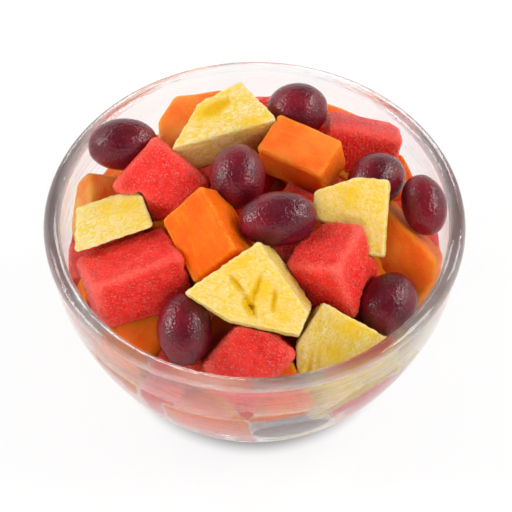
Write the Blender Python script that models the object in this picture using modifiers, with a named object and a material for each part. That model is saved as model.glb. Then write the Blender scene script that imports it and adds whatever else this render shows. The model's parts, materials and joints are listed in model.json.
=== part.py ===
"""Fruit salad in a round glass bowl.

A heap of hand-cut watermelon, papaya and pineapple with whole dark grapes, in the clear
glass bowl that holds it. Every piece that lies on top of the heap, or shows through the
front of the glass, is an object of its own. What lies under them is one solid out to its
uneven outline.

Units are metres, +Z is up, and the origin is the middle of the bowl's foot, on the table.
The front of the bowl faces -Y.
"""
import math
import random

import bmesh
import bpy
from mathutils import Matrix, Vector
from mathutils.bvhtree import BVHTree
from mathutils.geometry import interpolate_bezier

MM = 0.001

# Bowl: 150 mm across the rim, 76 mm high, about a litre.
RIM_RADIUS = 75.0
BOWL_HEIGHT = 76.0
RIM_THICKNESS = 6.0
FOOT_RADIUS = 43.5
LIP_BELOW_RIM = 4.0
WALL_THICKNESS = 4.6
FLOOR_THICKNESS = 7.0
FLOOR_RADIUS = 38.0
TURN_STEPS = 48
WALL_STEPS = 7
RIM_STEPS = 6

# The outside of the wall is one curve from the foot to the lip: how far each end's handle reaches.
HEEL_REACH = (14.0, 3.0)
FLANK_REACH = 25.5
# The same for the inside, from the floor's edge up.
INNER_HEEL_REACH = (17.0, 2.0)
INNER_FLANK_REACH = 24.0

# What a touching pair of pieces keeps between them, and how far up the bowl's room is cut.
GAP = 0.3
HOLLOW_TOP = 130.0

# How round each fruit's cut edges are, in mm, and in how many steps.
EDGE = {"watermelon": 2.4, "papaya": 1.4, "pineapple": 0.9}
EDGE_STEPS = 2
GRAPE_SEGMENTS = 12
GRAPE_RINGS = 8

COLOURS = {
    "watermelon": (0.80, 0.06, 0.05),
    "papaya": (0.92, 0.22, 0.02),
    "pineapple": (0.90, 0.66, 0.16),
    "grape": (0.10, 0.008, 0.022),
    "mixed": (0.75, 0.22, 0.06),
}

# Whole grapes: name, middle (mm), (length, width) (mm), (spin, lean, heading) (degrees).
GRAPES = (
    ("grape_left", (-48, 29, 79), (26, 20), (5, 0, 0)),
    ("grape_back", (16, 45, 80), (23, 21), (0, 0, 0)),
    ("grape_middle", (-6, 8, 86), (24, 21), (90, 20, 0)),
    ("grape_top", (8, -13, 88), (28, 20), (8, 0, 0)),
    ("grape_right_inner", (44, 15, 76), (22, 20), (30, 0, 0)),
    ("grape_right_outer", (60.4, 3, 76), (23, 17), (100, 20, 0)),
    ("grape_right_front", (46.5, -33.5, 66), (24, 21.5), (60, 20, 0)),
    ("grape_front", (-24, -47, 70), (26, 20), (90, 30, 0)),
    ("grape_low_front", (12, -49, 32), (26, 21), (12, 25, 14)),
)

# Cut pieces: name, fruit, middle of the upper face (mm), (width, depth, thickness) (mm),
# (spin, lean, heading) (degrees), and further knife cuts as (angle round the face, distance
# from its middle, slope up the side). Firm pieces come before the soft ones that they dent.
CHUNKS = (
    ("pineapple_back", "pineapple", (-14, 36, 89), (40, 20, 20), (0, 10, 20),
     ((135, 7.5, 0), (20, 16, 0), (106, 6.5, 0))),
    ("pineapple_right", "pineapple", (33, -9, 85), (26, 27, 12), (4, 35, -10),
     ((111, 12, 0), (233, 8, 0))),
    ("pineapple_left", "pineapple", (-51, -4, 77), (31, 24, 17), (137, 12, -120),
     ((-90, 7, -52), (166, 13, 0), (0, 13.5, 0))),
    ("pineapple_front", "pineapple", (-2, -43, 85), (44, 36, 13), (0, 30, 0),
     ((125, 13, 0), (238, 11, 0), (258, 10, 0), (34, 12.3, 18), (-22, 21, 0))),
    ("pineapple_front_right", "pineapple", (30, -57, 60), (36, 37, 15), (-24, 57, -8),
     ((90, 16, -32), (51, 18.5, -20), (-34, 8, 0), (215, 15.5, 0))),
    ("papaya_middle", "papaya", (-20, -18, 86), (21, 28, 15), (78, 45, -56), ()),
    ("papaya_centre", "papaya", (16, 23, 86), (27, 17, 18), (6, 12, -37),
     ((0, 12.6, 50), (0, 13.8, 25))),
    ("papaya_right", "papaya", (49, -12, 67), (38, 20, 14), (-6, 45, -50),
     ((35, 17, -20),)),
    ("papaya_back", "papaya", (-22, 44, 76), (28, 24, 20), (0, 10, 10), ((142, 12, 0),)),
    ("papaya_left", "papaya", (-52, 14, 66), (18, 22, 18), (-70, 30, 80), ()),
    ("papaya_front_left", "papaya", (-38, -40, 65), (22, 18, 18), (0, 5, 52), ()),
    ("papaya_low_front", "papaya", (-13, -51, 52), (26, 20, 20), (0, 18, -14), ()),
    ("papaya_back_right", "papaya", (32, 54, 65), (18, 12, 20), (0, 0, -28), ()),
    ("papaya_right_low", "papaya", (51, 27, 66), (14, 16, 18), (0, 0, 20), ()),
    ("watermelon_left", "watermelon", (-33.6, 9.3, 80.4), (25, 26.5, 22), (50, 35, 0),
     ((207, 6, 35),)),
    ("watermelon_front_left", "watermelon", (-44, -20.6, 77.5), (34, 26, 30), (-9.5, -25, 32), ()),
    ("watermelon_right", "watermelon", (23.5, -22, 86), (22, 24, 25), (95, 20, -120),
     ((149, 10, 0),)),
    ("watermelon_front", "watermelon", (-2, -57, 66), (26, 23, 18), (48, 40, 0), ()),
    ("watermelon_back_right", "watermelon", (41, 43, 75), (29, 18, 20), (19, -30, -23), ()),
    ("watermelon_back", "watermelon", (4, 55, 71), (16, 14, 18), (0, 0, 0), ()),
    ("watermelon_low_right", "watermelon", (38, -46, 48), (22, 20, 18), (0, 10, 38), ()),
)

# The rest of the heap under them: rows of pieces stood against the wall round a full middle.
# Each row: how many pieces, height of their tops, (width, depth, thickness) (mm), how far
# they lean out with the wall, the first one's angle, and the stretch of angles left to the
# pieces that show there (degrees).
LOWER_ROWS = (
    (6, 30.0, (25.0, 20.0, 20.0), 36.0, 10.0, (265.0, 300.0)),
    (9, 50.0, (26.0, 20.0, 21.0), 19.0, -20.0, (225.0, 320.0)),
    (10, 63.0, (26.0, 18.0, 15.0), 7.0, 5.0, (200.0, 340.0)),
)
ROW_TURN_SPREAD = 5.0
ROW_HEIGHT_SPREAD = 1.5
ROW_TWIST_SPREAD = 8.0
ROW_WIDTHS = (0.85, 1.0)
ROW_THICKNESSES = (0.9, 1.05)
ROW_INTO_WALL = 1.5
HEAP_SEED = 7
# The heap's middle: a dome, then a side that keeps clear of the wall by less than a grape.
DOME = ((0.0, 72.0), (28.0, 69.0), (46.0, 63.0), (58.0, 56.0))
DOME_STEPS = 16
DOME_CLEAR = 3.4


def clear_scene():
    for obj in list(bpy.data.objects):
        bpy.data.objects.remove(obj, do_unlink=True)


def new_collection(name):
    collection = bpy.data.collections.new(name)
    bpy.context.scene.collection.children.link(collection)
    return collection


def material(name, colour, roughness, alpha=1.0, transmission=0.0):
    """A Principled material with the piece's own colour."""
    mat = bpy.data.materials.new(name)
    mat.use_nodes = True
    shader = mat.node_tree.nodes["Principled BSDF"]
    shader.inputs["Base Color"].default_value = (*colour, 1.0)
    shader.inputs["Roughness"].default_value = roughness
    shader.inputs["Metallic"].default_value = 0.0
    shader.inputs["Alpha"].default_value = alpha
    shader.inputs["Transmission Weight"].default_value = transmission
    mat.diffuse_color = (*colour, 1.0)
    return mat


def add_object(name, mesh, collection, mat=None):
    obj = bpy.data.objects.new(name, mesh)
    collection.objects.link(obj)
    if mat:
        mesh.materials.append(mat)
    return obj


def hide_cutter(obj):
    obj.hide_render = True
    obj.display_type = "WIRE"
    return obj


def turned(name, profile, collection, steps, mat=None):
    """A solid of revolution from a profile in mm that runs down its outer side."""
    points = [Vector((radius * MM, 0.0, height * MM)) for radius, height in profile]
    edges = [(i, i + 1) for i in range(len(points) - 1)]
    mesh = bpy.data.meshes.new(name)
    mesh.from_pydata(points, edges, [])
    obj = add_object(name, mesh, collection, mat)
    screw = obj.modifiers.new("turn", "SCREW")
    screw.axis = "Z"
    screw.steps = steps
    screw.render_steps = steps
    screw.use_merge_vertices = True
    screw.merge_threshold = 0.00001
    screw.use_smooth_shade = True
    return obj


def curve(start, start_handle, end_handle, end, steps):
    """Points in mm along one cubic curve, start to end."""
    ends = [Vector((*point, 0.0)) for point in (start, start_handle, end_handle, end)]
    return [(p.x, p.y) for p in interpolate_bezier(*ends, steps + 1)]


def arc(centre, radius, start_deg, end_deg, steps):
    """Points in mm round part of a circle."""
    points = []
    for i in range(steps + 1):
        angle = math.radians(start_deg + (end_deg - start_deg) * i / steps)
        points.append((centre[0] + radius * math.cos(angle), centre[1] + radius * math.sin(angle)))
    return points


def inner_wall(shrink=0.0):
    """The inside of the wall in mm, from the floor's edge up to the lip."""
    top_radius = RIM_RADIUS - WALL_THICKNESS - shrink
    floor_edge = (FLOOR_RADIUS, FLOOR_THICKNESS + shrink)
    lip = (top_radius, BOWL_HEIGHT - LIP_BELOW_RIM - 2.0)
    return curve(
        floor_edge,
        (floor_edge[0] + INNER_HEEL_REACH[0] - shrink, floor_edge[1] + INNER_HEEL_REACH[1]),
        (lip[0], lip[1] - INNER_FLANK_REACH),
        lip,
        WALL_STEPS,
    )


def outer_wall():
    """The outside of the wall in mm, from the lip down to the foot."""
    lip = (RIM_RADIUS, BOWL_HEIGHT - LIP_BELOW_RIM)
    foot = (FOOT_RADIUS, 0.0)
    return curve(
        lip,
        (lip[0], lip[1] - FLANK_REACH),
        (foot[0] + HEEL_REACH[0], foot[1] + HEEL_REACH[1]),
        foot,
        WALL_STEPS + 2,
    )


def build_bowl(collection):
    """The glass: floor, wall and a rounded rim, turned in one piece."""
    bead = RIM_THICKNESS / 2.0
    rim = arc((RIM_RADIUS - bead, BOWL_HEIGHT - bead), bead, 180.0, 0.0, RIM_STEPS)
    profile = [(0.0, FLOOR_THICKNESS)]
    profile += inner_wall()
    profile += rim
    profile += outer_wall()
    profile.append((0.0, 0.0))
    glass = material("bowl_glass", (0.93, 0.95, 0.95), 0.03, alpha=0.35, transmission=1.0)
    return turned("bowl", profile, collection, TURN_STEPS, glass)


def build_hollow(collection):
    """Cutter: the room inside the bowl, a gap clear of the glass."""
    wall = inner_wall(shrink=GAP)
    wall.reverse()
    mouth_radius = RIM_RADIUS - RIM_THICKNESS - GAP
    rim_middle = BOWL_HEIGHT - RIM_THICKNESS / 2.0
    profile = [(0.0, HOLLOW_TOP), (mouth_radius, HOLLOW_TOP), (mouth_radius, rim_middle)]
    profile += wall
    profile.append((0.0, FLOOR_THICKNESS + GAP))
    return hide_cutter(turned("hollow", profile, collection, TURN_STEPS))


def placed(middle, turn):
    """World matrix: spun about its own upright, leaned forward, then turned to a heading."""
    spin, lean, heading = (math.radians(angle) for angle in turn)
    place = Matrix.Translation(Vector(middle) * MM)
    return (place @ Matrix.Rotation(heading, 4, "Z") @ Matrix.Rotation(lean, 4, "X")
            @ Matrix.Rotation(spin, 4, "Z"))


def slice_off(bm, angle_deg, distance, slope_deg):
    """One knife cut: everything beyond the plane goes, and the cut is closed."""
    angle = math.radians(angle_deg)
    slope = math.radians(slope_deg)
    normal = Vector((
        math.cos(angle) * math.cos(slope),
        math.sin(angle) * math.cos(slope),
        math.sin(slope),
    ))
    geometry = bm.verts[:] + bm.edges[:] + bm.faces[:]
    cut = bmesh.ops.bisect_plane(
        bm, geom=geometry, plane_co=normal * distance * MM, plane_no=normal, clear_outer=True)
    edges = [item for item in cut["geom_cut"] if isinstance(item, bmesh.types.BMEdge)]
    bmesh.ops.contextual_create(bm, geom=edges)


def chunk_mesh(name, size, cuts, edge, swell=0.0):
    """A cut block whose origin is the middle of its upper face, with its edges eased."""
    width, depth, thickness = (length + 2.0 * swell for length in size)
    bm = bmesh.new()
    bmesh.ops.create_cube(bm, size=1.0)
    bmesh.ops.scale(bm, vec=Vector((width, depth, thickness)) * MM, verts=bm.verts)
    drop = Vector((0.0, 0.0, swell - thickness / 2.0)) * MM
    bmesh.ops.translate(bm, vec=drop, verts=bm.verts)
    for angle, distance, slope in cuts:
        slice_off(bm, angle, distance + swell, slope)
    bmesh.ops.recalc_face_normals(bm, faces=bm.faces)
    if edge > 0.0:
        bmesh.ops.bevel(
            bm, geom=bm.edges[:], offset=edge * MM, segments=EDGE_STEPS, profile=0.5,
            affect="EDGES", clamp_overlap=True)
    mesh = bpy.data.meshes.new(name)
    bm.to_mesh(mesh)
    bm.free()
    return mesh


def grape_mesh(name, size, swell=0.0):
    """A plump oval berry, longest along its own X."""
    length, width = (extent / 2.0 + swell for extent in size)
    bm = bmesh.new()
    bmesh.ops.create_uvsphere(bm, u_segments=GRAPE_SEGMENTS, v_segments=GRAPE_RINGS, radius=1.0)
    bmesh.ops.rotate(bm, matrix=Matrix.Rotation(math.pi / 2.0, 3, "Y"), verts=bm.verts)
    bmesh.ops.scale(bm, vec=Vector((length, width, width)) * MM, verts=bm.verts)
    mesh = bpy.data.meshes.new(name)
    bm.to_mesh(mesh)
    bm.free()
    return mesh


def world_tree(obj):
    """A search tree of the piece as it lies, before anything dents it."""
    corners = [obj.matrix_world @ vertex.co for vertex in obj.data.vertices]
    return BVHTree.FromPolygons(corners, [list(face.vertices) for face in obj.data.polygons])


def evaluated_tree(obj):
    """A search tree of the object with its modifiers applied."""
    shape = obj.evaluated_get(bpy.context.evaluated_depsgraph_get()).to_mesh()
    return BVHTree.FromPolygons(
        [obj.matrix_world @ vertex.co for vertex in shape.vertices],
        [list(face.vertices) for face in shape.polygons])


def trim(obj, cutter, operation):
    boolean = obj.modifiers.new(cutter.name, "BOOLEAN")
    boolean.operation = operation
    boolean.solver = "EXACT"
    boolean.object = cutter


def inner_radius(height):
    """How far the inside of the wall stands from the middle at one height, in mm."""
    wall = inner_wall(shrink=GAP)
    for (low_radius, low), (high_radius, high) in zip(wall, wall[1:]):
        if low <= height <= high:
            return low_radius + (high_radius - low_radius) * (height - low) / (high - low)
    return wall[-1][0] if height > wall[-1][1] else wall[0][0]


def row_places():
    """Where each piece of the lower rows stands: (middle of its top, size, turn)."""
    chance = random.Random(HEAP_SEED)
    places = []
    for count, top, (width, depth, thickness), lean, first, (left_from, left_to) in LOWER_ROWS:
        for i in range(count):
            spread = chance.uniform(-ROW_TURN_SPREAD, ROW_TURN_SPREAD)
            angle = first + 360.0 * i / count + spread
            height = top + chance.uniform(-ROW_HEIGHT_SPREAD, ROW_HEIGHT_SPREAD)
            size = (width * chance.uniform(*ROW_WIDTHS), depth, thickness * chance.uniform(*ROW_THICKNESSES))
            reach = depth / 2.0 * math.cos(math.radians(lean)) - ROW_INTO_WALL
            radius = inner_radius(height) - reach
            out = math.radians(angle)
            middle = (radius * math.cos(out), radius * math.sin(out), height)
            twist = chance.uniform(-ROW_TWIST_SPREAD, ROW_TWIST_SPREAD)
            if not left_from < angle % 360.0 < left_to:
                places.append((middle, size, (twist, lean, angle + 90.0)))
    return places


def build_lower_fruit(collection, rows, hollow, rooms, mat):
    """The heap under the pieces that show: a domed middle with rows of pieces round it."""
    profile = list(DOME)
    for radius, height in reversed(inner_wall(shrink=GAP)):
        if height < DOME[-1][1]:
            profile.append((radius - DOME_CLEAR, height))
    profile.append((0.0, FLOOR_THICKNESS + GAP))
    heap = turned("lower_fruit", profile, collection, DOME_STEPS, mat)
    for i, (middle, size, turn) in enumerate(row_places()):
        piece = add_object(f"row_piece_{i}", chunk_mesh(f"row_piece_{i}", size, (), 0.0), rows)
        piece.matrix_world = placed(middle, turn)
        hide_cutter(piece)
    join = heap.modifiers.new("rows", "BOOLEAN")
    join.operation = "UNION"
    join.solver = "EXACT"
    join.operand_type = "COLLECTION"
    join.collection = rows
    trim(heap, hollow, "INTERSECT")
    bpy.context.view_layer.update()
    tree = evaluated_tree(heap)
    for cutter, cutter_tree in rooms:
        if tree.overlap(cutter_tree):
            trim(heap, cutter, "DIFFERENCE")
    return heap


def keep_largest(obj):
    """Apply the cuts and drop the slivers that they leave loose."""
    shape = obj.evaluated_get(bpy.context.evaluated_depsgraph_get())
    bm = bmesh.new()
    bm.from_mesh(shape.to_mesh())
    unseen = set(bm.faces)
    lumps = []
    while unseen:
        lump = set()
        front = [unseen.pop()]
        while front:
            face = front.pop()
            lump.add(face)
            for edge in face.edges:
                for other in edge.link_faces:
                    if other in unseen:
                        unseen.discard(other)
                        front.append(other)
        lumps.append(lump)
    largest = max(lumps, key=lambda faces: sum(face.calc_area() for face in faces))
    loose = [face for face in bm.faces if face not in largest]
    bmesh.ops.delete(bm, geom=loose, context="FACES")
    obj.modifiers.clear()
    bm.to_mesh(obj.data)
    bm.free()


def main():
    clear_scene()
    collection = new_collection("fruit_salad")
    cutters = new_collection("cutters")
    materials = {
        "watermelon": material("watermelon_flesh", COLOURS["watermelon"], 0.45),
        "papaya": material("papaya_flesh", COLOURS["papaya"], 0.35),
        "pineapple": material("pineapple_flesh", COLOURS["pineapple"], 0.4),
        "grape": material("grape_skin", COLOURS["grape"], 0.25),
    }
    build_bowl(collection)
    hollow = build_hollow(cutters)
    bpy.context.view_layer.update()
    hollow_tree = evaluated_tree(hollow)

    firmer = []
    chunks = []
    for name, middle, size, turn in GRAPES:
        grape = add_object(name, grape_mesh(name, size), collection, materials["grape"])
        grape.matrix_world = placed(middle, turn)
        grape.data.shade_smooth()
        swollen = add_object(f"{name}_room", grape_mesh(name, size, GAP), cutters)
        swollen.matrix_world = grape.matrix_world
        firmer.append((hide_cutter(swollen), world_tree(swollen)))
        if world_tree(grape).overlap(hollow_tree):
            trim(grape, hollow, "INTERSECT")
    for name, fruit, middle, size, turn, cuts in CHUNKS:
        mesh = chunk_mesh(name, size, cuts, EDGE[fruit])
        chunk = add_object(name, mesh, collection, materials[fruit])
        chunk.matrix_world = placed(middle, turn)
        tree = world_tree(chunk)
        if tree.overlap(hollow_tree):
            trim(chunk, hollow, "INTERSECT")
        for cutter, cutter_tree in firmer:
            if tree.overlap(cutter_tree):
                trim(chunk, cutter, "DIFFERENCE")
        room_mesh = chunk_mesh(f"{name}_room", size, cuts, 0.0, GAP)
        swollen = add_object(f"{name}_room", room_mesh, cutters)
        swollen.matrix_world = chunk.matrix_world
        firmer.append((hide_cutter(swollen), world_tree(swollen)))
        chunks.append(chunk)
    rows = new_collection("row_cutters")
    mixed = material("mixed_fruit", COLOURS["mixed"], 0.45)
    chunks.append(build_lower_fruit(collection, rows, hollow, firmer, mixed))
    bpy.context.view_layer.update()
    for chunk in chunks:
        if chunk.modifiers:
            keep_largest(chunk)


main()
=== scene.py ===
import json
import math
import random

import bmesh
import bpy
import numpy as np
from bpy.props import (
    FloatProperty,
    FloatVectorProperty,
    IntProperty,
    PointerProperty,
)
from mathutils import Matrix, Vector, noise
from mathutils.bvhtree import BVHTree
from mathutils.geometry import interpolate_bezier

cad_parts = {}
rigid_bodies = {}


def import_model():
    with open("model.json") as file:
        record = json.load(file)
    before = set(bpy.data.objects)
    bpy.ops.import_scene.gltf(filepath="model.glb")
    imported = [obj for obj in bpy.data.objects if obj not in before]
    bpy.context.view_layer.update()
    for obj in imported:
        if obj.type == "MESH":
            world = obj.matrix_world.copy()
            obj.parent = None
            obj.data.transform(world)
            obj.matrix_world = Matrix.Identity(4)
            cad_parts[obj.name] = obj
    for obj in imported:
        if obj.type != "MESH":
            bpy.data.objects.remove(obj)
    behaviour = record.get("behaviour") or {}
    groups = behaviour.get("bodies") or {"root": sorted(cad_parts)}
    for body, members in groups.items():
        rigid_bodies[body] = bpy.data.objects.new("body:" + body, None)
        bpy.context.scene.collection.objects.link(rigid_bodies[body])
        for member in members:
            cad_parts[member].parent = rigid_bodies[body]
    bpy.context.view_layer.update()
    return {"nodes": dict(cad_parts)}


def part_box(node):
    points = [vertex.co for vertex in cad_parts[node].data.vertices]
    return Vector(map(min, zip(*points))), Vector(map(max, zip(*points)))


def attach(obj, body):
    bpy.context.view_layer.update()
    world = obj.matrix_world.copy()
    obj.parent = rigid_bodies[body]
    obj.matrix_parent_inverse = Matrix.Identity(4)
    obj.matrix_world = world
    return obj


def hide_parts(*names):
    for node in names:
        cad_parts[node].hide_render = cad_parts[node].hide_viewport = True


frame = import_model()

bl_info = {
    "name": "Fruit Salad in a Glass Bowl",
    "version": (1, 0, 0),
    "blender": (4, 5, 0),
    "location": "View3D > Sidebar > Fruit Salad",
    "description": "Dresses the fruit salad: glass, grapes, cut fruit and the heap under it",
    "category": "Add Mesh",
}

MM = 0.001
BODY = "root"
NODES = frame["nodes"]
RIM_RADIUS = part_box("bowl")[1].x
RIM_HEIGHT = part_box("bowl")[1].z

# Where fruit wets the glass it sinks just into it: towards the front, up to a height, with
# WET_FRONT the least cosine from straight ahead. Elsewhere a thin gap of air is left.
SINK = 0.04 * MM
AIR_GAP = 0.25 * MM
WET_FRONT = 0.60
WET_HEIGHT = 57.0 * MM

# The room left round each piece when others are cut back from it, how far the edges of a
# block are eased, and the least skin that a cut-back block needs to be kept.
CLEARANCE = 0.35 * MM
BLOCK_EDGE = 1.6 * MM
LEAST_SKIN = 300.0 * MM * MM

# The end of each grape that carries the stem scar: +1 is the end towards +X, or towards +Y
# on a grape that lies more along Y. A grape that isn't here hides its scar.
SCAR_ENDS = {"grape_left": -1, "grape_top": -1, "grape_front": -1, "grape_low_front": 1,
             "grape_right_outer": 1}

# Folds in the pineapple, seen from above in mm: two ends, half width, depth (less than 0
# stands proud), and how far the flesh on the left of the fold stands over the right.
FOLDS = {
    "pineapple_front": (
        ((-8.3, -37.2), (-4.1, -43.0), 0.6, 0.6, 0.9),
        ((-4.1, -43.0), (0.3, -50.0), 0.9, 0.9, 1.5),
        ((2.3, -37.0), (-1.2, -46.1), 0.6, 0.8, 0.0),
        ((-1.1, -45.6), (-1.3, -46.6), 1.2, 1.6, 0.0),
        ((6.9, -40.6), (6.1, -49.0), 0.5, 0.6, 0.0),
    ),
    "pineapple_back": (
        ((-20.0, 22.5), (-3.4, 42.5), 2.2, -0.5, 0.0),
        ((-19.5, 33.5), (-8.0, 42.0), 1.2, 0.35, 0.0),
    ),
    "pineapple_right": (
        ((40.5, 2.0), (41.6, -20.0), 0.5, 0.22, 0.0),
        ((38.2, 1.0), (38.6, -11.0), 0.5, 0.20, 0.0),
    ),
    "pineapple_front_right": (
        ((20.0, -50.0), (17.5, -62.0), 0.6, 0.45, 0.0),
        ((22.5, -50.0), (20.5, -62.0), 0.5, 0.35, 0.0),
    ),
}

# Where the pineapple is ripest, in mm: a spot on each piece and how far it spreads.
RIPE_SPOTS = {
    "pineapple_back": (((-17.9, 35.6, 89.2), 6.5), ((0.2, 30.9, 87.3), 5.0)),
    "pineapple_right": (((33.5, -3.5, 88.8), 5.5),),
    "pineapple_left": (((-44.9, 0.7, 77.6), 5.0), ((-52.5, 1.5, 77.0), 4.0)),
    "pineapple_front": (((2.5, -41.8, 85.7), 6.5), ((-4.9, -33.6, 90.5), 4.5),
                        ((9.0, -48.0, 80.0), 5.0)),
    "pineapple_front_right": (((32.6, -48.6, 73.3), 6.5), ((27.0, -53.0, 65.4), 6.0)),
}

# How pale each papaya piece is (partly its own tone, partly painted light brightening pieces that
# sit in shade), and how ripe each pineapple piece is all over, from 0 to 1.
TONES = {"papaya_back": 0.6, "papaya_left": 1.0, "papaya_centre": 0.25, "papaya_front_left": 0.2,
         "papaya_right": 0.35, "pineapple_front": 0.36, "pineapple_right": 0.40,
         "pineapple_front_right": 0.22}

# Named pieces that rest on the glass low down, and are drawn out to it.
LOW_NODES = ("grape_low_front", "papaya_low_front", "watermelon_low_right")

# How far a piece has settled from its place, in mm.
SETTLED = {"grape_low_front": (-1.0, -3.0, 5.0)}

# The pieces that show through the front of the glass: fruit, direction in degrees, height of
# the middle in mm, size in mm along the wall, into the bowl and up the wall, and tilt.
FRONT_PIECES = (
    ("papaya", -139.0, 47.0, (31.0, 20.0, 21.0), -14.0),
    ("watermelon", -120.0, 45.0, (20.0, 20.0, 25.0), 8.0),
    ("watermelon", -58.0, 47.0, (24.0, 20.0, 20.0), 14.0),
    ("pineapple", -36.0, 50.0, (25.0, 20.0, 23.0), 9.0),
    ("watermelon", -104.0, 22.0, (30.0, 18.0, 17.0), 4.0),
    ("papaya", -52.0, 25.0, (26.0, 18.0, 19.0), -8.0),
    ("watermelon", -125.0, 22.0, (24.0, 18.0, 17.0), 10.0),
    ("papaya", -145.0, 25.0, (24.0, 18.0, 18.0), -5.0),
    ("watermelon", -38.0, 25.0, (24.0, 18.0, 18.0), -5.0),
)

# What fills the rest of the heap, in turn, the size of its grapes, and how often a place for
# one more piece is tried.
HEAP_KINDS = ("watermelon", "papaya", "watermelon", "pineapple", "papaya", "watermelon", "papaya")
HEAP_GRAPE = (26.0 * MM, 20.4 * MM, 20.4 * MM)
PLACING_TRIES = 6000


# ---------------------------------------------------------------- settings

def number(name, description, default):
    """A setting that is a plain number."""
    return FloatProperty(name=name, description=description, default=default)


def whole(name, description, default):
    """A setting that is a whole number."""
    return IntProperty(name=name, description=description, default=default)


def metres(name, description, default):
    """A setting that is a length."""
    return FloatProperty(name=name, description=description, default=default, unit="LENGTH")


def rgb(name, description, default):
    """A setting that is a colour."""
    return FloatVectorProperty(
        name=name, description=description, default=default, subtype="COLOR", size=3)


class FruitSaladBowlSettings(bpy.types.PropertyGroup):
    foot_radius: metres("Foot", "Radius of the flat foot", 0.0435)
    wall: metres("Wall", "Thickness of the wall at the lip", 0.0046)
    bead: metres("Rim", "Thickness of the rounded rim", 0.006)
    roll: metres("Roll", "How far the rim stands out over the wall", 0.0009)
    lip_drop: metres("Lip drop", "How far under the rim the outside starts to turn in", 0.004)
    low_wall: metres("Low wall", "Thickness of the wall just above the foot", 0.0027)
    floor: metres("Floor", "Thickness of the floor", 0.0055)
    steps: whole("Steps", "Steps round the turned glass", 160)
    tint: rgb("Tint", "Colour that thick glass takes on", (0.80, 0.79, 0.78))
    density: number("Density", "How fast light is lost in the glass, per metre", 3.0)
    ripple: metres("Ripple", "Height of the ripples of pressed glass", 0.00016)


class FruitSaladFruitSettings(bpy.types.PropertyGroup):
    voxel: metres("Grain of the mesh", "Voxel size of the cut pieces", 0.0007)
    watermelon: rgb("Watermelon", "Colour of watermelon flesh", (0.88, 0.033, 0.024))
    # The pale grains: partly the flesh's own colour, partly painted glints.
    watermelon_grain: rgb(
        "Watermelon grain", "Colour of the pale grains in it", (1.0, 0.22, 0.165))
    papaya: rgb("Papaya", "Colour of papaya flesh", (1.0, 0.145, 0.001))
    # The palest papaya pieces: partly their own tone, partly painted light brightening pieces in
    # shade.
    papaya_pale: rgb("Pale papaya", "Colour of the palest papaya pieces", (1.0, 0.42, 0.09))
    papaya_edge: rgb("Papaya edge", "Colour of its thin, lit edges", (1.0, 0.33, 0.02))
    pineapple: rgb("Pineapple", "Colour of pale pineapple flesh", (0.95, 0.69, 0.27))
    pineapple_ripe: rgb("Ripe pineapple", "Colour of its ripest patches", (0.92, 0.57, 0.008))
    grape: rgb("Grape", "Colour of the grape skin", (0.085, 0.0035, 0.010))
    bloom: rgb("Bloom", "Colour of the dull bloom on the grapes", (0.17, 0.035, 0.07))


class FruitSaladHeapSettings(bpy.types.PropertyGroup):
    pieces: whole("Pieces", "Cut pieces under the top layer", 64)
    piece_size: metres("Piece size", "Usual side of a piece under the top layer", 0.025)
    grapes: whole("Grapes", "Grapes under the top layer", 7)
    voxel: metres("Grain of the mesh", "Voxel size of these pieces", 0.0011)
    shell: metres("Shell", "How deep the pieces go before the core", 0.014)
    seed: whole("Seed", "Start of the random placing", 3)


class FruitSaladStageSettings(bpy.types.PropertyGroup):
    camera_place: FloatVectorProperty(
        name="Camera", description="Where the camera stands", subtype="TRANSLATION",
        unit="LENGTH", size=3, default=(0.0, -0.37759, 0.54229))
    camera_tilt: FloatProperty(
        name="Tilt", description="Camera tilt up from straight down", subtype="ANGLE",
        unit="ROTATION", default=math.radians(37.489))
    camera_yaw: FloatProperty(
        name="Yaw", description="Camera turn about the upright", subtype="ANGLE",
        unit="ROTATION", default=math.radians(-0.075))
    lens: number("Lens", "Focal length in mm", 118.86)
    world: number("Room", "Strength of the pale walls of the room", 1.2)
    ceiling: number("Ceiling", "Strength of the ceiling against the walls", 0.22)
    floor_colour: rgb("Floor", "Colour of the floor", (0.16, 0.16, 0.16))
    floor_glow: number("Floor glow", "How brightly the floor is lit from below", 0.80)
    # A painted glow of the floor right under the foot.
    under_glow: number("Glow under the foot", "The same right under the foot", 0.85)


class FruitSaladSettings(bpy.types.PropertyGroup):
    bowl: PointerProperty(type=FruitSaladBowlSettings)
    fruit: PointerProperty(type=FruitSaladFruitSettings)
    heap: PointerProperty(type=FruitSaladHeapSettings)
    stage: PointerProperty(type=FruitSaladStageSettings)


# ---------------------------------------------------------------- shaders

class Nodes:
    """Builds a shader tree, node by node."""

    def __init__(self, tree):
        self.tree = tree

    def node(self, kind, inputs=None, **settings):
        """Adds a node. An input is a value, or the output socket of another node."""
        made = self.tree.nodes.new(kind)
        for name, value in settings.items():
            setattr(made, name, value)
        for name, value in (inputs or {}).items():
            self.feed(made.inputs[name], value)
        return made

    def feed(self, socket, value):
        """Links an output to a socket, or sets the socket to a value or a colour."""
        if isinstance(value, bpy.types.NodeSocket):
            self.tree.links.new(value, socket)
        elif socket.type == "RGBA":
            socket.default_value = (*value, 1.0)
        else:
            socket.default_value = value

    def ramp(self, factor, low, high, start=0.0, end=1.0):
        """Maps factor between low and high smoothly onto start and end."""
        return self.node("ShaderNodeMapRange", {
            "Value": factor, "From Min": low, "From Max": high, "To Min": start, "To Max": end},
            interpolation_type="SMOOTHSTEP").outputs["Result"]

    def math(self, operation, first, second):
        return self.node("ShaderNodeMath", {0: first, 1: second}, operation=operation).outputs[0]

    def times(self, first, second):
        return self.math("MULTIPLY", first, second)

    def vector(self, operation, first, second=(0.0, 0.0, 0.0)):
        """Vector maths, as a node, because some results are vectors and some are numbers."""
        return self.node("ShaderNodeVectorMath", {0: first, 1: second}, operation=operation)


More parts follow.
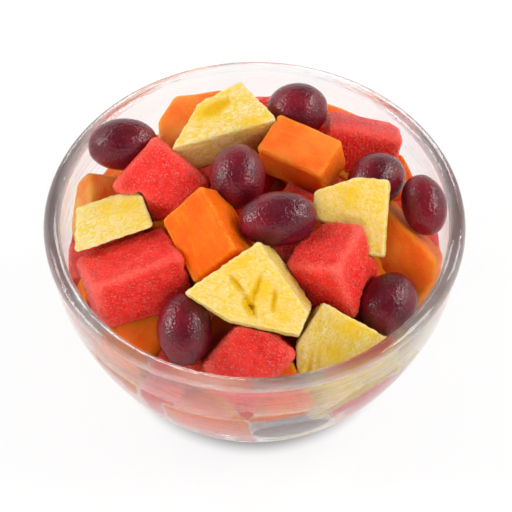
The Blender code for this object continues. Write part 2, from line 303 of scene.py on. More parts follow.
class Finish(Nodes):
    """Builds one Principled material."""

    def __init__(self, name):
        self.material = bpy.data.materials.new(name)
        self.material.use_nodes = True
        super().__init__(self.material.node_tree)

    def principled(self, **inputs):
        """Sets the shader's inputs, named in lower case, and gives the finished material."""
        shader = self.tree.nodes["Principled BSDF"]
        sockets = {socket.name.lower().replace(" ", "_"): socket for socket in shader.inputs}
        for name, value in inputs.items():
            self.feed(sockets[name], value)
        return self.material

    def grain(self):
        """Coordinates in mm in the piece's own frame."""
        return self.node("ShaderNodeAttribute", attribute_name="grain").outputs["Vector"]

    def mask(self, name):
        """A number from 0 to 1 that the mesh carries."""
        return self.node("ShaderNodeAttribute", attribute_name=name).outputs["Fac"]

    def stretched(self, vector, scale):
        return self.vector("MULTIPLY", vector, scale).outputs[0]

    def noise(self, vector, size, detail=2.0, roughness=0.5, distortion=0.0):
        """Noise of one feature size in mm."""
        return self.node("ShaderNodeTexNoise", {
            "Vector": vector, "Scale": 1.0 / size, "Detail": detail, "Roughness": roughness,
            "Distortion": distortion}).outputs["Fac"]

    def cells(self, vector, size):
        """How far each spot lies from the middle of its cell, for cells of one size in mm."""
        return self.node("ShaderNodeTexVoronoi", {
            "Vector": vector, "Scale": 1.0 / size}).outputs["Distance"]

    def mix(self, factor, first, second):
        """Mixes two colours: factor is the share of the second."""
        return self.node(
            "ShaderNodeMix", {0: factor, 6: first, 7: second}, data_type="RGBA").outputs[2]

    def layer(self, under, over, mask, low, high, start=0.0, end=1.0):
        """Lays one colour over another where the mask, as ramped, says."""
        return self.mix(self.ramp(mask, low, high, start, end), under, over)

    def bump(self, height, distance, under=None):
        """A bump of so many mm, laid over another one where it is given."""
        inputs = {"Height": height, "Distance": distance * MM, "Strength": 1.0}
        if under is not None:
            inputs["Normal"] = under
        return self.node("ShaderNodeBump", inputs).outputs["Normal"]


def scaled_colour(colour, *shares):
    """A colour with a share of its red, green and blue."""
    return tuple(channel * share for channel, share in zip(colour, shares))


def watermelon_finish(fruit):
    """Wet watermelon: deep red flesh packed with pale, glassy grains whose pale colour is partly
    painted glints, and a painted highlight along its edges.
    """
    finish = Finish("watermelon_flesh_wet")
    place = finish.grain()
    drawn = finish.stretched(place, (1.0, 0.62, 1.0))
    cells = finish.ramp(finish.cells(drawn, 0.74), 0.06, 0.60, 1.0, 0.0)
    fleck = finish.noise(drawn, 0.85, 3.0, 0.65, 0.4)
    grain = finish.times(cells, finish.ramp(fleck, 0.34, 0.58, 0.1, 1.0))
    broad = finish.noise(place, 6.0, 3.0)
    juicy = finish.ramp(finish.noise(place, 2.6, 2.0), 0.30, 0.62, 0.55, 1.0)
    deep = scaled_colour(fruit.watermelon, 0.86, 0.45, 0.45)
    flesh = finish.layer(deep, fruit.watermelon, broad, 0.35, 0.65)
    vein = scaled_colour(fruit.watermelon, 0.72, 0.2, 0.2)
    veined = finish.layer(flesh, vein, fleck, 0.32, 0.50, 0.7, 0.0)
    # Where the grains show, their pale colour is partly the flesh's own and partly painted
    # glints.
    grains_and_glints = finish.times(grain, juicy)
    with_grains_and_glints = finish.mix(grains_and_glints, veined, fruit.watermelon_grain)
    # Painted highlight: the sharp edges are painted paler pink, as if lit through the flesh.
    edge = finish.times(finish.mask("ridge"), finish.ramp(fleck, 0.30, 0.60, 0.5, 1.0))
    colour = finish.layer(with_grains_and_glints, (1.0, 0.21, 0.14), edge, 0.10, 0.75, 0.0, 0.42)
    height = finish.math("ADD", grain, finish.times(fleck, 1.2))
    return finish.principled(
        base_color=colour, roughness=finish.ramp(fleck, 0.35, 0.65, 0.34, 0.16), ior=1.36,
        subsurface_weight=0.4, subsurface_radius=(1.0, 0.16, 0.12), subsurface_scale=0.002,
        specular_ior_level=0.4, normal=finish.bump(height, 0.5))


def papaya_finish(fruit):
    """Wet papaya: smooth, saturated flesh, with a painted highlight along its thin edges; its
    paler pieces are partly painted light.
    """
    finish = Finish("papaya_flesh_wet")
    place = finish.grain()
    broad = finish.noise(place, 10.0, 3.0)
    streak = finish.noise(finish.stretched(place, (0.22, 1.0, 1.0)), 1.5, 3.0)
    speck = finish.noise(place, 0.55, 2.0, 0.6)
    deep = scaled_colour(fruit.papaya, 1.0, 0.60, 0.3)
    # Paleness of the piece: partly its own tone, partly painted light brightening pieces that sit
    # in shade.
    toned = finish.mix(finish.mask("ripe"), fruit.papaya, fruit.papaya_pale)
    flesh = finish.layer(deep, toned, broad, 0.32, 0.66, 0.4, 1.0)
    streaked = finish.layer(flesh, fruit.papaya_edge, streak, 0.50, 0.78, 0.0, 0.40)
    speckled = finish.layer(streaked, (1.0, 0.36, 0.012), speck, 0.56, 0.70, 0.0, 0.45)
    # Painted highlight: the sharp edges are painted a paler yellow-orange, as if lit.
    ridge = finish.times(finish.mask("ridge"), finish.ramp(speck, 0.34, 0.60, 0.2, 1.0))
    colour = finish.layer(speckled, (1.0, 0.42, 0.04), ridge, 0.12, 0.80, 0.0, 0.55)
    height = finish.math("ADD", speck, streak)
    return finish.principled(
        base_color=colour, roughness=finish.ramp(speck, 0.44, 0.60, 0.55, 0.10), ior=1.36,
        specular_ior_level=0.2, subsurface_weight=0.9, subsurface_radius=(1.0, 0.34, 0.03),
        subsurface_scale=0.009, normal=finish.bump(height, 0.5))


def pineapple_finish(fruit):
    """Pineapple: pale, finely pitted flesh with riper golden patches and folds, painted shade in
    the folds and a painted highlight along its edges.
    """
    finish = Finish("pineapple_flesh_wet")
    place = finish.grain()
    fibre = finish.noise(finish.stretched(place, (0.45, 1.0, 1.0)), 0.7, 4.0, 0.7, 0.3)
    pit = finish.noise(place, 0.62, 4.0, 0.72)
    mottle = finish.noise(place, 3.4, 4.0, 0.7, 0.8)
    broad = finish.noise(place, 8.0, 3.0, 0.6, 0.6)
    cream = (0.97, 0.84, 0.52)
    golden = scaled_colour(fruit.pineapple, 0.94, 0.93, 0.26)
    flesh = finish.layer(golden, fruit.pineapple, mottle, 0.45, 0.56)
    pale = finish.layer(flesh, cream, fibre, 0.48, 0.60, 0.0, 0.8)
    hollow = scaled_colour(fruit.pineapple_ripe, 0.92, 0.85, 4.0)
    pitted = finish.layer(pale, hollow, pit, 0.32, 0.46, 0.9, 0.0)
    patch = finish.math("MAXIMUM", finish.ramp(broad, 0.50, 0.70, 0.0, 0.6), finish.mask("ripe"))
    ripe = finish.times(patch, finish.ramp(pit, 0.36, 0.60, 1.0, 0.75))
    ripened = finish.mix(ripe, pitted, fruit.pineapple_ripe)
    # Painted shade: along the folds the flesh is painted a darker gold, as shade in the creases.
    crease_shade = scaled_colour(fruit.pineapple_ripe, 0.92, 0.84, 0.6)
    fold = finish.layer(ripened, crease_shade, finish.mask("fold"), 0.2, 0.8)
    fleck = finish.times(finish.ramp(finish.noise(place, 0.8, 1.0), 0.68, 0.76), 0.5)
    flecked = finish.mix(fleck, fold, (0.55, 0.30, 0.05))
    # Painted highlight: the sharp edges are painted pale cream, as if lit.
    colour = finish.layer(flecked, cream, finish.mask("ridge"), 0.2, 0.9, 0.0, 0.45)
    height = finish.math("ADD", pit, finish.times(fibre, 0.6))
    return finish.principled(
        base_color=colour, roughness=finish.ramp(pit, 0.35, 0.65, 0.45, 0.14), ior=1.36,
        subsurface_weight=0.5, subsurface_radius=(0.9, 0.66, 0.12), subsurface_scale=0.003,
        specular_ior_level=0.3, normal=finish.bump(height, 0.9))


def grape_finish(fruit):
    """Dark grape skin with patches of dull bloom, a wet film and a corky stem scar."""
    finish = Finish("grape_skin_bloomed")
    place = finish.grain()
    broad = finish.noise(place, 6.0, 4.0, 0.6)
    mottle = finish.noise(place, 1.3, 4.0, 0.65, 0.3)
    fine = finish.noise(place, 0.45, 2.0, 0.6)
    red = scaled_colour(fruit.grape, 2.0, 1.4, 1.3)
    skin = finish.layer(fruit.grape, red, finish.noise(place, 10.0, 2.0), 0.35, 0.68)
    dusting = finish.times(
        finish.ramp(broad, 0.44, 0.72), finish.ramp(mottle, 0.34, 0.66, 0.0, 0.26))
    bloomed = finish.mix(dusting, skin, fruit.bloom)
    specks = finish.cells(place, 1.5)
    speckled = finish.layer(bloomed, (0.36, 0.16, 0.16), specks, 0.05, 0.15, 0.35, 0.0)
    colour = finish.mix(finish.mask("scar"), speckled, (0.22, 0.11, 0.05))
    film = finish.noise(place, 1.7, 3.0, 0.6, 0.4)
    beads = finish.noise(place, 0.95, 1.0, 0.5)
    beaded = finish.math("ADD", beads, finish.times(fine, 0.15))
    wet = finish.bump(film, 0.12, finish.bump(beaded, 0.34))
    return finish.principled(
        base_color=colour, roughness=finish.ramp(mottle, 0.36, 0.64, 0.05, 0.20), ior=1.42,
        specular_ior_level=0.5, subsurface_weight=0.06, subsurface_radius=(1.0, 0.06, 0.10),
        subsurface_scale=0.003, normal=wet)


def core_finish(fruit):
    """What shows deep between the pieces: soft red and orange flesh, painted darker as shade."""
    finish = Finish("heap_core_flesh")
    place = finish.node("ShaderNodeTexCoord").outputs["Object"]
    blend = finish.noise(finish.stretched(place, (1.0 / MM,) * 3), 16.0, 1.0)
    # Painted shade: both colours are the flesh colours darkened, as shade deep in the heap.
    orange_in_shade = scaled_colour(fruit.papaya, 0.6, 0.6, 0.6)
    red = scaled_colour(fruit.watermelon, 0.55, 0.55, 0.55)
    return finish.principled(
        base_color=finish.layer(red, orange_in_shade, blend, 0.45, 0.55), roughness=0.45,
        subsurface_weight=0.4, subsurface_radius=(1.0, 0.25, 0.12), subsurface_scale=0.003)


def glass_finish(bowl):
    """Clear pressed glass: grey only where it is thick, with faint ripples round it."""
    finish = Finish("bowl_clear_glass")
    place = finish.node("ShaderNodeAttribute", attribute_name="flow").outputs["Vector"]
    ripple = finish.noise(place, 1.1, 4.0, 0.6, 0.3)
    body = finish.node(
        "ShaderNodeVolumeAbsorption", {"Color": bowl.tint, "Density": bowl.density})
    output = finish.tree.nodes["Material Output"]
    finish.feed(output.inputs["Volume"], body.outputs["Volume"])
    return finish.principled(
        base_color=(1.0, 1.0, 1.0), roughness=0.0, ior=1.5, transmission_weight=1.0,
        normal=finish.bump(ripple, bowl.ripple / MM))


FLESH_FINISHES = {
    "watermelon": watermelon_finish,
    "papaya": papaya_finish,
    "pineapple": pineapple_finish,
}


# ---------------------------------------------------------------- meshes

def link(name, data, materials=()):
    """Puts a mesh, a lamp or a camera into the scene as an object."""
    made = bpy.data.objects.new(name, data)
    bpy.context.scene.collection.objects.link(made)
    for material in materials:
        data.materials.append(material)
    return made


def filled(name, bm):
    """A mesh of its own from a bmesh, which is used up."""
    mesh = bpy.data.meshes.new(name)
    bm.to_mesh(mesh)
    bm.free()
    return mesh


def baked(obj):
    """Applies the object's modifiers and takes the object away, keeping its new mesh."""
    shape = obj.evaluated_get(bpy.context.evaluated_depsgraph_get())
    mesh = bpy.data.meshes.new_from_object(shape)
    mesh.transform(obj.matrix_world)
    old = obj.data
    bpy.data.objects.remove(obj)
    bpy.data.meshes.remove(old)
    return mesh


def rows_of(items, name, width=3, kind=float):
    """One property of many vertices, edges or faces, as an array of rows."""
    flat = np.empty(len(items) * width, dtype=kind)
    items.foreach_get(name, flat)
    return flat.reshape(-1, width)


def corners(mesh):
    """The vertices as an array of rows."""
    return rows_of(mesh.vertices, "co")


def set_corners(mesh, places):
    """Moves the vertices to rows of places."""
    mesh.vertices.foreach_set("co", places.ravel())
    mesh.update()


def normals(mesh):
    """The way out at each vertex, as rows."""
    return rows_of(mesh.vertex_normals, "vector")


def curve(start, start_handle, end_handle, end, steps):
    """Points along one cubic curve in a plane, start to end."""
    ends = [Vector((*point, 0.0)) for point in (start, start_handle, end_handle, end)]
    return [(point.x, point.y) for point in interpolate_bezier(*ends, steps + 1)]


def arc(centre, radius, start, end, steps):
    """Points round part of a circle, angles in degrees."""
    turns = [math.radians(start + (end - start) * i / steps) for i in range(steps + 1)]
    return [(centre[0] + radius * math.cos(t), centre[1] + radius * math.sin(t)) for t in turns]


def inside_wall(bowl, steps=28):
    """The inside of the wall, from the floor's edge up to the lip: it thins towards the foot."""
    outer = np.array(outside_wall(bowl, steps))[::-1]
    along = np.gradient(outer, axis=0)
    along /= np.linalg.norm(along, axis=1)[:, None]
    share = outer[:, 1] / outer[-1, 1]
    thick = bowl.low_wall + (bowl.wall - bowl.low_wall) * share
    radii = outer[:, 0] - along[:, 1] * thick
    heights = outer[:, 1] + along[:, 0] * thick
    # It ends just under the rim, and turns into the floor in a round corner.
    lip = RIM_HEIGHT - bowl.lip_drop - 1.5 * MM
    heights -= np.linspace(0.0, heights[-1] - lip, len(heights))
    gap = heights - bowl.floor
    heights = bowl.floor + (gap + np.sqrt(gap ** 2 + (2.0 * MM) ** 2)) / 2.0
    return [(float(radius), float(height)) for radius, height in zip(radii, heights)]


def outside_wall(bowl, steps=28):
    """The outside of the wall, from under the rolled rim down to the foot."""
    lip = (RIM_RADIUS, RIM_HEIGHT - bowl.lip_drop)
    foot = (bowl.foot_radius, 0.0)
    line = curve(
        lip, (lip[0], lip[1] - 25.5 * MM), (foot[0] + 14.0 * MM, foot[1] + 3.0 * MM), foot, steps)
    under_rim = lip[1] - 1.2 * MM
    # Over the last stretch up to the rim the wall draws in, so that the rim stands out.
    roll_start, roll_length = 52.0 * MM, 14.0 * MM
    drawn_in = [
        (radius - bowl.roll * min(1.0, max(0.0, (height - roll_start) / roll_length)), height)
        for radius, height in line]
    return [(drawn_in[0][0], under_rim)] + [point for point in drawn_in if point[1] < under_rim]


def turned(name, profile, steps):
    """A solid of revolution whose profile runs down its outer side."""
    mesh = bpy.data.meshes.new(name)
    edges = [(i, i + 1) for i in range(len(profile) - 1)]
    mesh.from_pydata([(radius, 0.0, height) for radius, height in profile], edges, [])
    made = link(name, mesh)
    screw = made.modifiers.new("turn", "SCREW")
    screw.steps = steps
    screw.render_steps = steps
    screw.use_merge_vertices = True
    screw.merge_threshold = 0.01 * MM
    return baked(made)


class Wall:
    """The inside of the glass, for what rests against it."""

    def __init__(self, bowl):
        line = inside_wall(bowl, 60)
        half = bowl.bead / 2.0
        bead = arc((RIM_RADIUS - half, RIM_HEIGHT - half), half + AIR_GAP, 205.0, 90.0, 16)
        self.radii = np.array([point[0] for point in line + bead])
        self.heights = np.array([point[1] for point in line + bead])
        self.lip = line[-1][1] - 1.5 * MM
        self.floor = bowl.floor

    def radius(self, height):
        return np.interp(height, self.heights, self.radii)

    def pressed(self, places, touch, near):
        """Flattens what rests against the glass. Where it wets the glass, what is nearer than
        touch sinks just into the wall, and up to near it closes in on it smoothly. Elsewhere,
        and at the rim, what comes too near is drawn back."""
        across = np.hypot(places[:, 0], places[:, 1])
        room = self.radius(places[:, 2])
        under_lip = places[:, 2] < self.lip
        beside_rim = (places[:, 2] >= self.lip) & (places[:, 2] < RIM_HEIGHT + 0.3 * MM)
        gap = room - across
        closed = np.where(gap < touch, -SINK, (gap - touch) * near / (near - touch))
        wetted = (places[:, 1] < -WET_FRONT * across) & (places[:, 2] < WET_HEIGHT)
        gap = np.where((gap < near) & under_lip & wetted, closed, gap)
        gap = np.where(under_lip & ~wetted, np.maximum(gap, AIR_GAP), gap)
        gap = np.where(beside_rim, np.maximum(gap, 0.0), gap)
        scale = (room - gap) / np.maximum(across, MM)
        places = places * np.stack([scale, scale, np.ones_like(scale)], 1)
        low = places[:, 2] < self.floor + touch
        places[low, 2] = self.floor - SINK
        return places


def own_frame(mesh):
    """The piece's middle and its own axes: largest faces first, as rows."""
    facing = rows_of(mesh.polygons, "normal")
    spread = (facing * rows_of(mesh.polygons, "area", 1)).T @ facing
    values, vectors = np.linalg.eigh(spread)
    axes = vectors[:, np.argsort(values)].T
    for axis in axes:
        if axis[np.argmax(np.abs(axis))] < 0.0:
            axis *= -1.0
    places = corners(mesh)
    return (places.min(0) + places.max(0)) / 2.0, axes


def smoothed_by_edges(mesh, values, rounds):
    """Averages rows of values over each vertex's neighbours."""
    first, second = rows_of(mesh.edges, "vertices", 2, np.int64).T
    count = len(mesh.vertices)
    share = np.bincount(first, minlength=count) + np.bincount(second, minlength=count)
    for _ in range(rounds):
        total = [
            np.bincount(first, column[second], count) + np.bincount(second, column[first], count)
            for column in values.T]
        values = np.stack(total, 1) / np.maximum(share, 1)[:, None]
    return values


def ridges(mesh, reach_rounds):
    """How sharply each spot stands out, from 0 on flats and hollows up to about 1 on an edge."""
    places = corners(mesh)
    mean = smoothed_by_edges(mesh, places, reach_rounds)
    stand = ((places - mean) * normals(mesh)).sum(1) / MM
    return np.clip(stand / (0.175 * math.sqrt(reach_rounds)), 0.0, 1.0)


def write_attribute(mesh, name, values):
    """Keeps a number or a vector at each vertex for the material to read."""
    kind, field = ("FLOAT_VECTOR", "vector") if values.ndim == 2 else ("FLOAT", "value")
    made = mesh.attributes.new(name, kind, "POINT")
    made.data.foreach_set(field, values.astype(np.float32).ravel())


def noise_at(places, size, seed):
    """Smooth noise, -1 to 1, of one feature size in the unit of the places."""
    shift = Vector((seed * 13.7, seed * 7.9, seed * 3.1))
    return np.array([noise.noise(Vector(place) + shift) for place in places / size])


def remeshed(mesh, voxel, smooth_rounds):
    """An even, rounded mesh of the same closed solid."""
    made = link("remesh", mesh)
    remesh = made.modifiers.new("remesh", "REMESH")
    remesh.mode = "VOXEL"
    remesh.voxel_size = voxel
    remesh.use_smooth_shade = True
    smooth = made.modifiers.new("smooth", "SMOOTH")
    smooth.factor = 0.5
    smooth.iterations = smooth_rounds
    return baked(made)


def node_solid(node):
    """A closed copy of a CAD node's mesh."""
    bm = bmesh.new()
    bm.from_mesh(NODES[node].data)
    bmesh.ops.remove_doubles(bm, verts=bm.verts, dist=0.01 * MM)
    return filled(node, bm)


# How each fruit's surface departs from the flat cut: smoothing rounds, rounds that its painted
# edge highlight reaches, how drawn out its grain is, and the size and depth in mm of its waves
# and grain.
SURFACES = {
    "watermelon": {"smooth": 5, "reach": 14, "fibre": 1.0,
                   "waves": ((8.0, 0.40), (2.4, 0.20), (1.0, 0.24))},
    "papaya": {"smooth": 5, "reach": 4, "fibre": 1.0, "waves": ((9.0, 0.40), (3.0, 0.10))},
    "pineapple": {"smooth": 4, "reach": 4, "fibre": 0.6,
                  "waves": ((8.0, 0.40), (1.9, 0.34), (0.95, 0.26))},
}


def beside_segment(flat, start, end):
    """How far each place lies from a segment, and on which side: over 0 is its left."""
    start, along = np.array(start), np.array(end) - np.array(start)
    share = np.clip(((flat - start) @ along) / (along @ along), 0.0, 1.0)
    off = flat - start - share[:, None] * along
    side = along[0] * (flat - start)[:, 1] - along[1] * (flat - start)[:, 0]
    taper = np.sin(np.pi * np.clip(share, 0.04, 0.96)) ** 0.5
    return np.hypot(off[:, 0], off[:, 1]), side, taper


def folded(places, facing_up, node, seed):
    """Depth in mm for the folds of one piece, and a mask where painted shade darkens their
    creases.
    """
    flat = places[:, :2] / MM
    wander = noise_at(places / MM, 3.0, seed) * 0.7
    depth, mask = np.zeros(len(places)), np.zeros(len(places))
    for start, end, width, deep, lift in FOLDS.get(node, ()):
        away, side, taper = beside_segment(flat + wander[:, None] * (0.7, 0.4), start, end)
        groove = np.exp(-((away / width) ** 2)) * taper * facing_up
        depth -= groove * deep
        left = (side < 0.0) * np.exp(-((away / 6.0) ** 2)) * taper * facing_up
        depth += left * lift
        seam_shade = np.exp(-((away / (width * 2.4)) ** 2)) * taper * (deep > 0.3) * facing_up
        mask = np.maximum(mask, seam_shade)
    return depth, mask


def ripeness(places, node):
    """How ripe each spot of the piece is, or how pale a piece of papaya (partly painted light),
    from 0 to 1.
    """
    ripe = np.full(len(places), TONES.get(node, 0.0))
    for spot, spread in RIPE_SPOTS.get(node, ()):
        away = np.linalg.norm(places / MM - np.array(spot), axis=1)
        ripe = np.maximum(ripe, np.exp(-((away / spread) ** 2)))
    return ripe


def dressed(mesh, kind, seed, voxel, wall, node=""):
    """Gives a plain solid the surface of its fruit, and its own coordinates for the material."""
    middle, axes = own_frame(mesh)
    surface = SURFACES[kind]
    rounds = max(2, round(surface["smooth"] * 0.7 * MM / voxel))
    made = remeshed(mesh, voxel, rounds)
    places = corners(made)
    outward = normals(made)
    local = (places - middle) @ axes.T / MM
    drawn = local * np.array([surface["fibre"], 1.0, 1.0])
    depth = np.zeros(len(places))
    for i, (size, height) in enumerate(surface["waves"]):
        if size > 1.2 * voxel / MM:
            depth += noise_at(drawn, size, seed + i) * height
    fold_depth, fold = folded(places, np.clip(outward[:, 2] * 3.0 - 1.0, 0.0, 1.0), node, seed)
    # The ridge mask says where the finishes paint a highlight along the edges.
    write_attribute(made, "ridge", ridges(made, surface["reach"]))
    write_attribute(made, "grain", local + seed * 37.0)
    # The fold mask says where painted shade darkens the creases.
    write_attribute(made, "fold", fold)
    write_attribute(made, "ripe", ripeness(places, node))
    places = places + outward * (depth + fold_depth - 0.1)[:, None] * MM
    set_corners(made, wall.pressed(places, *reach_to_wall(node)))
    return made


def reach_to_wall(node):
    """How near to the glass a piece lies flat on it, and how near it starts to bend to it."""
    if node in LOW_NODES:
        return 7.0 * MM, 8.6 * MM
    return (1.8 * MM, 2.8 * MM) if node else (0.8 * MM, 1.5 * MM)


def kind_of(node):
    """The fruit that a node is, from its name."""
    return node.split("_")[0]


def nodes_of(kind):
    """The nodes of one fruit, in order."""
    return [node for node in sorted(NODES) if kind_of(node) == kind]


def place_piece(obj, nodes):
    """Finishes a piece: smooth, on its body, and in the place of its nodes."""
    for polygon in obj.data.polygons:
        polygon.use_smooth = True
    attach(obj, BODY)
    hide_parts(*nodes)


# ---------------------------------------------------------------- the pieces

def build_bowl(bowl):
    """The glass bowl, turned finely in one piece."""
    half = bowl.bead / 2.0
    rim = arc((RIM_RADIUS - half, RIM_HEIGHT - half), half, 180.0, -42.0, 18)
    wall = outside_wall(bowl)
    profile = [(0.0, bowl.floor)] + inside_wall(bowl) + rim + wall + [(0.0, 0.0)]
    mesh = turned("bowl_glass", profile, bowl.steps)
    places = corners(mesh) / MM
    turns = np.arctan2(places[:, 1], places[:, 0])
    drift = 3.5 * np.sin(turns + 0.7) + 2.0 * np.sin(3.0 * turns)
    write_attribute(mesh, "flow", np.stack(
        [np.hypot(places[:, 0], places[:, 1]), places[:, 2], drift], 1))
    piece = link("bowl_glass", mesh, [glass_finish(bowl)])
    place_piece(piece, ["bowl"])


def grape_solid(node, wall, seed):
    """One grape: a slightly uneven berry with its stem scar, flattened where it meets glass."""
    source = node_solid(node)
    places = corners(source)
    middle = (places.min(0) + places.max(0)) / 2.0
    long_axis = np.linalg.eigh(np.cov((places - places.mean(0)).T))[1][:, 2]
    lead = 0 if abs(long_axis[0]) > abs(long_axis[1]) else 1
    long_axis = long_axis * math.copysign(1.0, long_axis[lead]) * SCAR_ENDS.get(node, 1)
    side = np.cross(long_axis, (0.0, 0.0, 1.0))
    side /= np.linalg.norm(side)
    axes = np.stack([long_axis, side, np.cross(long_axis, side)])
    reach = np.abs((places - middle) @ axes.T).max(0)
    bpy.data.meshes.remove(source)
    mesh = berry_mesh(node, reach, seed)
    local = corners(mesh)
    write_attribute(mesh, "grain", local / MM + seed * 41.0)
    world = local @ axes + middle + np.array(SETTLED.get(node, (0.0, 0.0, 0.0))) * MM
    touch, near = reach_to_wall(node) if node in LOW_NODES else (0.9 * MM, 1.8 * MM)
    set_corners(mesh, wall.pressed(world, touch, near))
    return mesh


def berry_mesh(name, reach, seed):
    """A berry along +X with half sizes reach, and its scar on the +X end."""
    bm = bmesh.new()
    bmesh.ops.create_icosphere(bm, subdivisions=5, radius=1.0)
    mesh = filled(name, bm)
    unit = corners(mesh)
    swell = 1.0 + 0.012 * noise_at(unit, 0.8, seed) - 0.008
    taper = 1.0 - 0.05 * unit[:, 0] ** 2 * np.sign(unit[:, 0])
    taper /= taper.max()
    out = unit * np.array(reach) * swell[:, None]
    out[:, 1:] *= taper[:, None]
    across = np.hypot(out[:, 1], out[:, 2]) / MM
    at_scar = unit[:, 0] > 0.0
    dent = np.exp(-(across / 2.1) ** 2) * 0.9
    ring = np.exp(-((across - 1.25) / 0.45) ** 2) * 0.30
    pip = np.exp(-(across / 0.55) ** 2) * 0.45
    out[:, 0] -= np.where(at_scar, dent - ring - pip, 0.0) * MM
    write_attribute(mesh, "scar", np.where(at_scar, np.clip(1.9 - across, 0.0, 1.0), 0.0))
    set_corners(mesh, out)
    return mesh


def build_grapes(settings):
    """The whole grapes, one piece for each node."""
    finish = grape_finish(settings.fruit)
    wall = Wall(settings.bowl)
    for seed, node in enumerate(nodes_of("grape")):
        piece = link(f"{node}_berry", grape_solid(node, wall, seed), [finish])
        place_piece(piece, [node])


def build_chunks(kind, finish, settings):
    """The cut pieces of one fruit, one piece for each node."""
    wall = Wall(settings.bowl)
    for seed, node in enumerate(nodes_of(kind)):
        mesh = dressed(node_solid(node), kind, seed + 1, settings.fruit.voxel, wall, node)
        piece = link(f"{node}_cut", mesh, [finish])
        place_piece(piece, [node])


def block_mesh(name, size):
    """A cut block round its own middle, its edges eased."""
    bm = bmesh.new()
    bmesh.ops.create_cube(bm, size=1.0)
    bmesh.ops.scale(bm, vec=Vector(size), verts=bm.verts)
    bmesh.ops.bevel(
        bm, geom=bm.edges[:], offset=BLOCK_EDGE, segments=2, profile=0.5, affect="EDGES",
        clamp_overlap=True)
    return filled(name, bm)


def tree_of(mesh):
    """A search tree, to find what runs into what."""
    return BVHTree.FromPolygons(
        [vertex.co.copy() for vertex in mesh.vertices],
        [list(polygon.vertices) for polygon in mesh.polygons])


def swollen(mesh, distance):
    """A copy pushed out along its normals."""
    made = mesh.copy()
    set_corners(made, corners(mesh) + normals(mesh) * distance)
    return made


def against_wall(wall, turn, height, depth):
    """The frame of a piece that leans on the wall: along it, into the bowl and up it."""
    turn = math.radians(turn)
    slope = math.atan2(wall.radius(height + MM) - wall.radius(height - MM), 2.0 * MM)
    outward = Vector((math.cos(turn), math.sin(turn), 0.0))
    up = Vector((0.0, 0.0, 1.0))
    facing = (outward * math.cos(slope) - up * math.sin(slope)).normalized()
    along = up.cross(outward)
    middle = outward * float(wall.radius(height)) + up * height - facing * depth
    frame_axes = Matrix((along, facing, along.cross(facing))).transposed().to_4x4()
    return Matrix.Translation(middle) @ frame_axes


def front_pieces(wall):
    """Fruit, frame and size of the pieces that lean on the front of the glass."""
    pieces = []
    for kind, turn, height, size, tilt in FRONT_PIECES:
        size = [side * MM for side in size]
        place = against_wall(wall, turn, height * MM, size[1] / 2.0 - 2.0 * MM)
        pieces.append((kind, place @ Matrix.Rotation(math.radians(tilt), 4, "Y"), size))
    return pieces


def heap_pieces(heap, wall):
    """The front pieces, then the rest, spread well apart over the heap's shell: grapes first,
    while there is the most room, then blocks."""
    low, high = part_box("lower_fruit")
    chance = random.Random(heap.seed)
    pieces = front_pieces(wall)
    apart = heap.piece_size * 0.80
    for _ in range(PLACING_TRIES):
        count = len(pieces) - len(FRONT_PIECES)
        if count >= heap.pieces + heap.grapes:
            break
        height = chance.uniform(low.z + 9.0 * MM, high.z - 8.0 * MM)
        room = float(wall.radius(height)) - heap.piece_size * 0.42
        radius = room * math.sqrt(chance.uniform(0.0, 1.0))
        if radius > room - heap.shell:
            radius = room - chance.uniform(0.0, 2.0) * MM
        elif height <= high.z - 20.0 * MM:
            continue
        turn = chance.uniform(-math.pi, math.pi)
        middle = Vector((radius * math.cos(turn), radius * math.sin(turn), height))
        if any((middle - place.translation).length < apart for _, place, _ in pieces):
            continue
        place = Matrix.Translation(middle)
        for axis, most in (("Z", 3.1), ("X", 0.6), ("Y", 0.5)):
            place = place @ Matrix.Rotation(chance.uniform(-most, most), 4, axis)
        if count < heap.grapes:
            pieces.append(("grape", place, HEAP_GRAPE))
        else:
            size = [heap.piece_size * chance.uniform(0.95, 1.35) for _ in range(3)]
            pieces.append((HEAP_KINDS[count % len(HEAP_KINDS)], place, size))
    return pieces


def berry_in_gap(size, place, seed, others):
    """A berry at its place, or a little lower if it runs into others there, or none."""
    for step in range(9):
        mesh = berry_mesh("berry", [side / 2.0 for side in size], seed)
        write_attribute(mesh, "grain", corners(mesh) / MM + seed * 53.0)
        mesh.transform(Matrix.Translation((0.0, step * 0.4 * MM, -step * MM)) @ place)
        tree = tree_of(mesh)
        if not any(tree.overlap(other) for other in others):
            return mesh, tree
        bpy.data.meshes.remove(mesh)
    return None, None


def trimmed(mesh, cutters, hollow):
    """The block inside the bowl, cut back from the pieces that it would run into."""
    made = link("heap_piece", mesh)
    for operation, cutter in [("INTERSECT", hollow)] + [("DIFFERENCE", item) for item in cutters]:
        boolean = made.modifiers.new("cut", "BOOLEAN")
        boolean.operation = operation
        boolean.solver = "EXACT"
        boolean.object = cutter
    return baked(made)


def largest_lump(mesh):
    """Keeps the largest closed lump of a mesh, or gives nothing if even that is tiny."""
    bm = bmesh.new()
    bm.from_mesh(mesh)
    unseen = set(bm.faces)
    best, best_area = set(), 0.0
    while unseen:
        lump, front = set(), [unseen.pop()]
        while front:
            face = front.pop()
            lump.add(face)
            for edge in face.edges:
                for other in edge.link_faces:
                    if other in unseen:
                        unseen.discard(other)
                        front.append(other)
        area = sum(face.calc_area() for face in lump)
        if area > best_area:
            best, best_area = lump, area
    loose = [face for face in bm.faces if face not in best]
    bmesh.ops.delete(bm, geom=loose, context="FACES")
    bm.to_mesh(mesh)
    bm.free()
    return mesh if best_area > LEAST_SKIN else None


